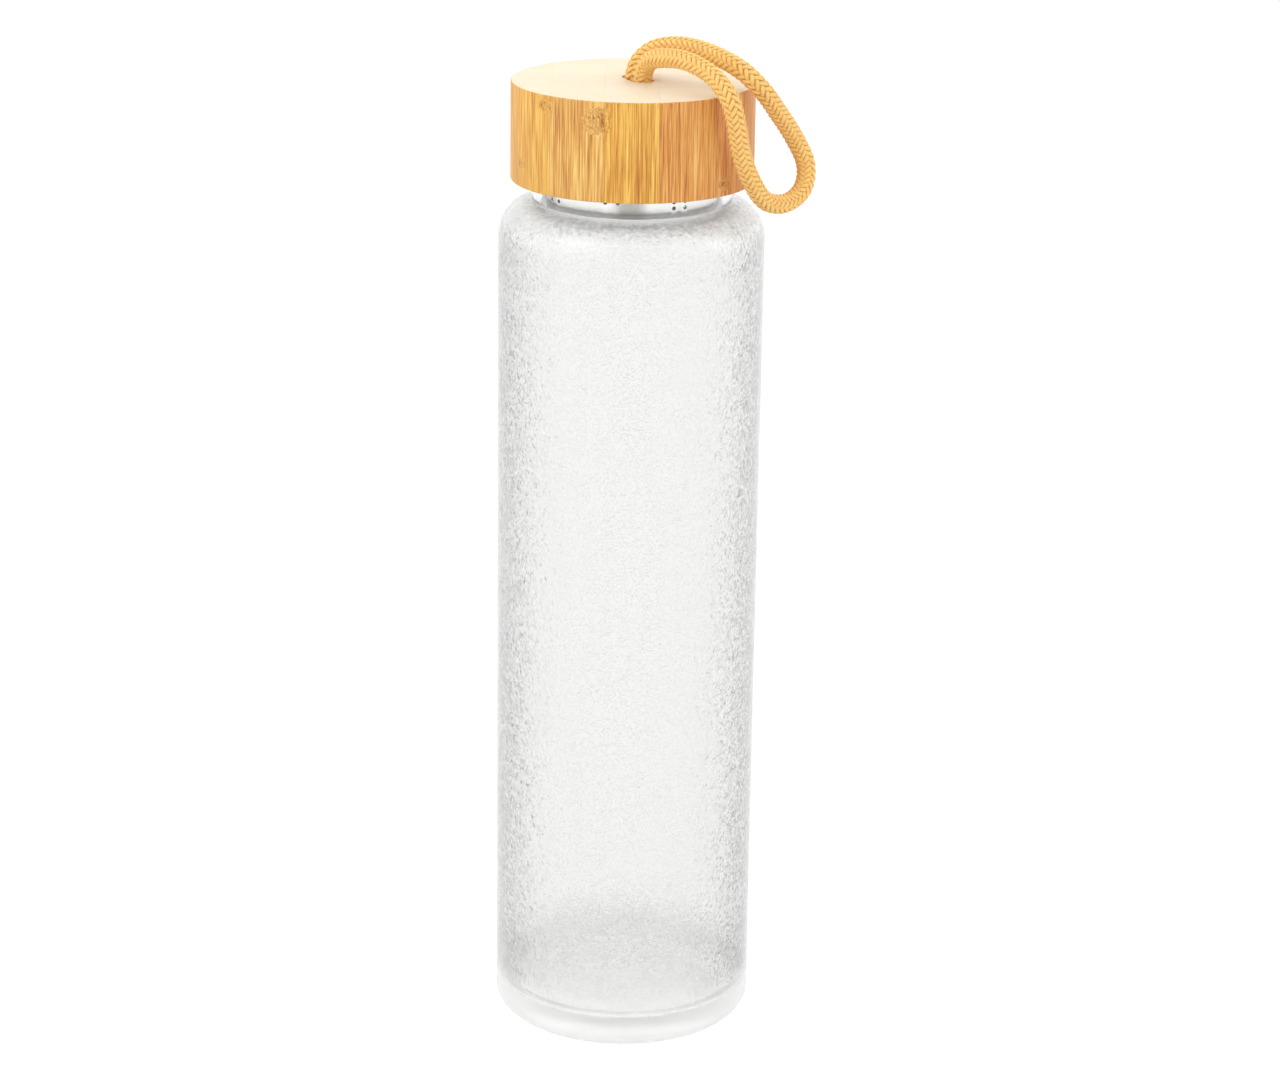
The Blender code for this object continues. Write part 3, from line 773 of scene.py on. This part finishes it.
class Bamboo(Shader):
    """Glued strips of bamboo, fibres upright. It makes the masks that the colours and the relief share."""

    def __init__(self):
        super().__init__("bamboo", Specular_IOR_Level=0.35)
        self.place = self.place_in_mm()
        self.x, self.y, self.z = self.axes(self.place)
        self.make_strips()
        self.make_knuckles()
        self.make_fibres()

    def make_strips(self):
        """Which strip a point is in, that strip's tone, and the glue lines between the strips."""
        across = self.math("DIVIDE", self.math("ADD", self.x, STRIP_X), STRIP_WIDTH)
        deep = self.math("DIVIDE", self.math("ADD", self.y, STRIP_Y), STRIP_DEPTH)
        self.column = self.math("FLOOR", across)
        self.strip = self.vector(self.column, self.math("FLOOR", deep), 0.0)
        tones = self.node("TexWhiteNoise", {"Vector": self.strip}, noise_dimensions="3D")
        self.strip_tone = tones.outputs["Value"]
        edge_x = self.math("ABSOLUTE", self.math("SUBTRACT", self.math("FRACT", across), 0.5))
        edge_y = self.math("ABSOLUTE", self.math("SUBTRACT", self.math("FRACT", deep), 0.5))
        glue_x = self.ease(edge_x, 0.487, 0.497)
        glue_y = self.ease(edge_y, 0.485, 0.497)
        self.glue = self.math("MAXIMUM", glue_x, glue_y)

    def make_knuckles(self):
        """Where the bamboo's knuckles show, and the dark pits inside them."""
        rag = self.noise(self.place, 0.9, 3.0, 0.6)
        self.knuckle = 0.0
        for centre_x, centre_z, half_x, half_z, facing in KNUCKLES:
            off_x = self.math("DIVIDE", self.math("SUBTRACT", self.x, centre_x), half_x)
            off_z = self.math("DIVIDE", self.math("SUBTRACT", self.z, centre_z), half_z)
            away = self.math("MULTIPLY_ADD", rag, 0.9, self.away(off_x, off_z))
            facing_side = self.math("GREATER_THAN", self.math("MULTIPLY", self.y, float(facing)), 0.0)
            near = self.math("MULTIPLY", self.ease(away, 1.6, 0.8), facing_side)
            self.knuckle = self.math("MAXIMUM", self.knuckle, near)
        dashes = self.vector_math("MULTIPLY", self.place, (1.0, 1.0, 0.40))
        dashes = self.ease(self.noise(dashes, 1.9, 2.0, 0.6), 0.58, 0.66)
        self.pits = self.math("MULTIPLY", dashes, self.knuckle)

    def make_fibres(self):
        """Upright fibres, other ones in each strip, which sway at the knuckles."""
        sway = self.math("SUBTRACT", self.noise(self.place, 0.55, 1.0), 0.5)
        drift_x = self.math("MULTIPLY_ADD", self.math("MULTIPLY", sway, self.knuckle), 2.2, self.x)
        drift_z = self.math("MULTIPLY", self.z, self.math("MULTIPLY_ADD", self.knuckle, 0.012, 0.025))
        shift = self.vector_math("MULTIPLY", self.strip, (3.7, 5.3, 1.9))
        drift = self.vector_math("ADD", self.vector(drift_x, self.y, drift_z), shift)
        self.broad = self.noise(drift, 0.42, 3.0, 0.55)
        self.fibres = self.noise(drift, 2.6, 4.0, 0.65)
        self.fine = self.noise(self.vector_math("MULTIPLY", drift, (1.0, 1.0, 0.8)), 5.0, 2.0, 0.5)
        bundles = self.cells(drift, 1.15, "F1")
        bundle_tone = self.axes(bundles["Color"])[0]
        self.dark_line = self.math("MULTIPLY", self.ease(bundles["Distance"], 0.24, 0.05), bundle_tone)

    def side_colour(self):
        tone = self.math("MULTIPLY_ADD", self.strip_tone, 0.10, -1.02)
        tone = self.sum(tone, (self.broad, 0.45), (self.fibres, 1.8), (self.fine, 0.80))
        tone = self.sum(tone, (self.dark_line, -0.30))
        colour = self.ramp(tone, FIBRE_COLOURS)
        strips = len(STRIP_HUES)
        hues = [(i / strips, hue) for i, hue in enumerate(STRIP_HUES)]
        place = self.math("DIVIDE", self.math("ADD", self.column, strips / 2), float(strips))
        colour = self.vector_math("MULTIPLY", colour, self.ramp(place, hues, "CONSTANT"))
        colour = self.mix(self.math("MULTIPLY", self.glue, 0.30), colour, GLUE_COLOUR)
        colour = self.mix(self.math("MULTIPLY", self.knuckle, 0.12), colour, KNUCKLE_COLOUR)
        return self.mix(self.math("MULTIPLY", self.pits, 0.85), colour, PIT_COLOUR)

    def sawn_grain_and_painted_sheen(self):
        # The sawn ends' real grain, strip tones and glue lines, all painted much paler than the sides: a
        # painted sheen.
        tone = self.math("MULTIPLY_ADD", self.broad, 0.35, 0.45)
        tone = self.sum(tone, (self.dark_line, -0.35), (self.strip_tone, 0.25))
        colour = self.mix(tone, SAWN_PAINTED_SHEEN_DARK, SAWN_PAINTED_SHEEN_LIGHT)
        return self.mix(self.math("MULTIPLY", self.glue, 0.10), colour, SAWN_PAINTED_SHEEN_GLUE)

    def relief(self):
        height = self.math("MULTIPLY_ADD", self.fibres, 0.6, self.math("MULTIPLY", self.fine, 0.4))
        height = self.sum(height, (self.dark_line, -0.5), (self.glue, -0.6))
        return self.sum(height, (self.pits, -2.5), (self.knuckle, 0.25))


def bamboo():
    """Bamboo with dark and light fibres on its sides; its sawn ends show their grain, painted pale as a sheen
    of the light from above.
    """
    shader = Bamboo()
    upward = shader.axes(shader.node("TexCoord").outputs["Normal"])[2]
    # Faces that look up or down get the sawn ends' colour with its painted sheen.
    sawn_sheen_face = shader.ease(shader.math("ABSOLUTE", upward), 0.75, 0.97)
    return shader.finish(
        Base_Color=shader.mix(sawn_sheen_face, shader.side_colour(), shader.sawn_grain_and_painted_sheen()),
        Roughness=shader.ease(shader.fibres, 0.2, 0.8, 0.42, 0.6),
        Normal=shader.bump(shader.relief(), 0.10 * MM, 0.7),
    )


def make_lid():
    lid = turned("lid_bamboo", lid_outline(), 192)
    punch(lid, cord_hole())
    smooth(lid, 35)
    finish_piece(lid, bamboo(), "lid", "bamboo", "bamboo_lid")


# ---------------------------------------------------------------- insert, gasket and collar


def moulded(name, colour, roughness, subsurface):
    """Moulded plastic or rubber: a fine even grain and slow changes of gloss."""
    shader = Shader(name, Subsurface_Weight=subsurface, Subsurface_Scale=0.002)
    place = shader.place_in_mm()
    grain = shader.noise(place, 9.0, 2.0)
    cloud = shader.noise(place, 0.25, 3.0)
    darker = tuple(0.93 * channel for channel in colour)
    return shader.finish(
        Base_Color=shader.mix(cloud, darker, colour),
        Roughness=shader.ease(cloud, 0.3, 0.7, roughness - 0.06, roughness + 0.06),
        Normal=shader.bump(grain, 0.02 * MM, 0.5),
    )


def insert_outline():
    """The insert's cup: the well, the roof, the bore with the rib that holds the gasket, and the outside."""
    low, high = bottom("thread_insert"), top("thread_insert")
    side, bore = INSERT_RADIUS, INSERT_BORE
    outline = [(0, WELL_UNDERSIDE), (9.2 * MM, WELL_UNDERSIDE), (9.6 * MM, WELL_UNDERSIDE + 0.4 * MM)]
    outline += [(9.6 * MM, INSERT_ROOF - 0.4 * MM), (10.0 * MM, INSERT_ROOF)]
    outline += [(bore - 0.3 * MM, INSERT_ROOF), (bore, INSERT_ROOF - 0.3 * MM), (bore, 228.2 * MM)]
    outline += arc((bore + 0.1 * MM, GASKET_RIB), (1.05 * MM, 0.6 * MM), 90, 270, 8)
    outline += straight((bore, 226.2 * MM), (bore, low + 0.4 * MM), 34)
    outline += [(bore, low + 0.4 * MM), (bore + 0.3 * MM, low)]
    outline += [(side - 0.3 * MM, low), (side, low + 0.3 * MM)]
    outline += [(side, high - 0.5 * MM), (side - 0.5 * MM, high)]
    outline += [(WELL_RADIUS + 0.5 * MM, high), (WELL_RADIUS, high - 0.4 * MM)]
    outline += [(WELL_RADIUS, WELL_FLOOR + 0.4 * MM), (WELL_RADIUS - 0.4 * MM, WELL_FLOOR), (0, WELL_FLOOR)]
    return outline


def insert_thread(radius, height, angle):
    """The insert's bore with its two thread beads; every other point keeps its radius."""
    if abs(radius - INSERT_BORE) > SAME_RADIUS or not INSERT_THREAD_LOW <= height <= INSERT_THREAD_HIGH:
        return radius
    return radius - thread_height(height, angle, INSERT_BEAD_TOP, INSERT_BEAD_TURNS, INSERT_BEAD_RADIUS)


def gasket_outline():
    """A ring's section with four rounded edges."""
    low = bottom("lid_gasket") + GASKET_EDGE
    high = top("lid_gasket") - GASKET_EDGE
    outer = outer_radius("lid_gasket") - GASKET_EDGE
    inner = GASKET_INNER + GASKET_EDGE
    outline = []
    for centre, start in (((outer, high), 90), ((outer, low), 0), ((inner, low), -90), ((inner, high), -180)):
        outline += arc(centre, (GASKET_EDGE, GASKET_EDGE), start, start - 90, 4)
    return outline


def collar_outline():
    """The collar's sleeve in the neck and its lip over the rim."""
    low, high = bottom("strainer_collar"), top("strainer_collar")
    lip, sleeve, inner = outer_radius("strainer_collar"), COLLAR_SLEEVE, COLLAR_INNER
    under_lip = high - COLLAR_LIP
    outline = [(inner, high - 0.1 * MM), (inner + 0.1 * MM, high)]
    outline += arc((lip - 0.3 * MM, high - 0.3 * MM), (0.3 * MM, 0.3 * MM), 90, 0, 4)
    outline += [(lip, high - 0.6 * MM), (lip - 0.2 * MM, under_lip), (sleeve + 0.2 * MM, under_lip)]
    outline += [(sleeve, high - 1.0 * MM), (sleeve, low + 0.2 * MM), (sleeve - 0.2 * MM, low), (inner, low)]
    return outline


def make_seals():
    plastic = moulded("natural_plastic", (0.84, 0.83, 0.78), 0.42, 0.2)
    insert = turned("insert_plastic", insert_outline(), 144, insert_thread)
    smooth(insert, 40)
    finish_piece(insert, plastic, "lid", "natural_plastic", "thread_insert")

    white = moulded("white_silicone", (0.88, 0.88, 0.86), 0.5, 0.3)
    gasket = turned("gasket_silicone", gasket_outline(), 128)
    smooth(gasket, 50)
    finish_piece(gasket, white, "seal", "white_silicone", "lid_gasket")

    clear = moulded("clear_silicone", (0.86, 0.87, 0.86), 0.35, 0.4)
    collar = turned("collar_silicone", collar_outline(), 128)
    smooth(collar, 40)
    finish_piece(collar, clear, "strainer", "clear_silicone", "strainer_collar")


# ---------------------------------------------------------------- the strainer


def strainer_outline():
    """The cup of sheet steel: outside from the middle of its base, its curled flange and its inside."""
    low, high = bottom("strainer_basket"), top("strainer_basket")
    side, sheet, corner = STRAINER_RADIUS, STRAINER_SHEET, STRAINER_CORNER
    flange = (outer_radius("strainer_basket") - sheet / 2, high - sheet / 2)
    outline = [(0, low)]
    outline += arc((side - corner, low + corner), (corner, corner), -90, 0, 5)
    outline += [(side, high - sheet - 0.3 * MM), (side + 0.3 * MM, high - sheet)]
    outline += arc(flange, (sheet / 2, sheet / 2), -90, 90, 5)
    outline += [(side - sheet + 0.4 * MM, high), (side - sheet, high - 0.4 * MM)]
    outline += [(side - sheet, low + corner), (side - corner, low + sheet), (0, low + sheet)]
    return outline


def cutters(places, radius):
    """One mesh of all the punched holes: a cylinder at each place, along that place's direction."""
    mesh = bmesh.new()
    for centre, direction in places:
        matrix = Matrix.Translation(centre) @ direction.to_track_quat("Z", "Y").to_matrix().to_4x4()
        bmesh.ops.create_cone(
            mesh, cap_ends=True, segments=20, radius1=radius, radius2=radius, depth=PUNCH_DEPTH, matrix=matrix
        )
    return mesh


def side_hole_places():
    """Clusters of two columns of holes; every second cluster starts one row higher."""
    low = bottom("strainer_basket") + SIDE_HOLE_LOWEST
    for cluster in range(SIDE_CLUSTERS):
        first_row = 1 if cluster % 2 == 0 else 0
        for column in (-1, 1):
            turn = FIRST_CLUSTER_ANGLE + 360 / SIDE_CLUSTERS * cluster + HOLE_COLUMN_ANGLE * column
            angle = math.radians(turn)
            out = Vector((math.sin(angle), -math.cos(angle), 0))
            for row in range(first_row, first_row + SIDE_HOLE_ROWS):
                height = low + SIDE_HOLE_PITCH * row
                yield out * SIDE_HOLE_MIDDLE + Vector((0, 0, height)), out


def base_hole_places():
    """A hole in the middle and rings of 6, 12 and 18 round it."""
    middle, up = Vector((0, 0, bottom("strainer_basket"))), Vector((0, 0, 1))
    yield middle, up
    for ring in range(1, BASE_HOLE_RINGS + 1):
        for hole in range(6 * ring):
            angle = 2 * math.pi * hole / (6 * ring)
            out = Vector((math.cos(angle), math.sin(angle), 0))
            yield middle + out * BASE_HOLE_PITCH * ring, up


def punch(made, mesh):
    """Cuts the cutter mesh out of a piece."""
    cutter = mesh_object(made.name + "_cutter", mesh)
    cut = made.modifiers.new("punch", "BOOLEAN")
    cut.object = cutter
    cut.solver = "EXACT"
    graph = bpy.context.evaluated_depsgraph_get()
    punched = bpy.data.meshes.new_from_object(made.evaluated_get(graph))
    made.modifiers.clear()
    made.data = punched
    bpy.data.objects.remove(cutter)


# The steel's tones round its axis stand for what it would reflect in the studio.
STEEL_DARK = (0.50, 0.48, 0.45)
STEEL_LIGHT = (0.99, 0.985, 0.97)
SECTORS_ROUND = 5.5
SECTOR_PHASE = 3.25


def steel():
    """Spun stainless steel: fine lines round the axis, and dark and light sectors of painted reflection."""
    shader = Shader("brushed_steel", Metallic=1.0, Anisotropic=0.5, Anisotropic_Rotation=0.25)
    x, y, z = shader.axes(shader.place_in_mm())
    angle = shader.math("ARCTAN2", x, shader.math("MULTIPLY", y, -1.0))
    sector = shader.math("COSINE", shader.math("MULTIPLY_ADD", angle, SECTORS_ROUND, SECTOR_PHASE))
    # Painted reflection: the light sectors round the axis, and the side from 0.4 radians towards +X on, are
    # light in the colour itself.
    light = shader.math("MAXIMUM", shader.ease(sector, -1.0, -0.3), shader.ease(angle, 0.4, 0.7))
    out = shader.math("MULTIPLY", shader.away(x, y), 9.0)
    lines = shader.vector(out, shader.math("MULTIPLY", angle, 3.0), shader.math("MULTIPLY", z, 9.0))
    brushed = shader.noise(lines, 1.0, 3.0, 0.6)
    return shader.finish(
        Base_Color=shader.mix(light, STEEL_DARK, STEEL_LIGHT),
        Roughness=shader.ease(brushed, 0.25, 0.75, 0.12, 0.22),
        Normal=shader.bump(brushed, 0.012 * MM, 0.5),
        Tangent=shader.node("Tangent", direction_type="RADIAL", axis="Z").outputs[0],
    )


def make_strainer():
    strainer = turned("strainer_steel", strainer_outline(), 144)
    punch(strainer, cutters(side_hole_places(), SIDE_HOLE_RADIUS))
    punch(strainer, cutters(base_hole_places(), BASE_HOLE_RADIUS))
    smooth(strainer, 30)
    finish_piece(strainer, steel(), "strainer", "brushed_steel", "strainer_basket")


# ---------------------------------------------------------------- light and floor

FLOOR_HALF_WIDTH = 6.0
FLOOR_GLOW = 0.92
# The sky's strength behind the object, in the middle and at the sides, and ahead of it, left and right.
SKY_BEHIND = (1.40, 1.35)
SKY_AHEAD = (1.30, 1.15)
SKY_DULLED = 0.75
# Each lamp's name, place, aim, size and power in watts.
LAMPS = (
    ("key", (-0.9, -0.55, 1.2), (0, 0, 0.15), 0.9, 2.9),
    ("rim", (1.3, -0.1, 0.7), (0, 0, 0.2), 0.7, 1.2),
)


def make_world():
    """White to the camera. For the object: even behind it; ahead brighter to the left, dull in the middle."""
    world = bpy.data.worlds.new("studio")
    bpy.context.scene.world = world
    world.use_nodes = True
    sky = Nodes(world.node_tree)
    x, y, _ = sky.axes(sky.node("TexCoord").outputs["Generated"])
    behind = sky.ease(sky.math("ABSOLUTE", x), 0.5, 1.0, *SKY_BEHIND)
    off_middle = sky.math("ABSOLUTE", sky.math("SUBTRACT", x, 0.08))
    dulled = sky.ease(off_middle, 0.12, 0.34, SKY_DULLED, 1.0)
    ahead = sky.math("MULTIPLY", sky.ease(x, -0.8, 0.8, *SKY_AHEAD), dulled)
    inputs = {MIX_FACTOR: sky.ease(y, 0.1, -0.4), MIX_VALUES[0]: behind, MIX_VALUES[1]: ahead}
    light = sky.node("Mix", inputs, data_type="FLOAT").outputs[0]
    seen = sky.node("LightPath").outputs["Is Camera Ray"]
    background = world.node_tree.nodes["Background"]
    sky.put(background.inputs["Strength"], sky.math("MAXIMUM", light, seen))
    background.inputs["Color"].default_value = (1.0, 1.0, 1.0, 1.0)


def make_light(name, place, aim, size, power):
    light = bpy.data.lights.new(name, "AREA")
    light.shape = "DISK"
    light.size = size
    light.energy = power
    made = bpy.data.objects.new(name, light)
    made.location = place
    made.rotation_euler = (Vector(aim) - Vector(place)).to_track_quat("-Z", "Y").to_euler()
    bpy.context.scene.collection.objects.link(made)


def make_stage():
    """A white glowing floor, the studio's sky and two soft lamps."""
    mesh = bmesh.new()
    bmesh.ops.create_grid(mesh, x_segments=1, y_segments=1, size=FLOOR_HALF_WIDTH)
    floor = mesh_object("floor", mesh)
    shader = Shader("floor", Base_Color=(0.1, 0.1, 0.1, 1.0), Roughness=0.8, Specular_IOR_Level=0.1)
    shader.finish(Emission_Color=(1.0, 1.0, 1.0, 1.0), Emission_Strength=FLOOR_GLOW)
    floor.data.materials.append(shader.material)
    make_world()
    for lamp in LAMPS:
        make_light(*lamp)
    bpy.context.scene.view_settings.view_transform = "Standard"


make_camera()
make_cord()
make_bottle()
make_lid()
make_seals()
make_strainer()
make_stage()
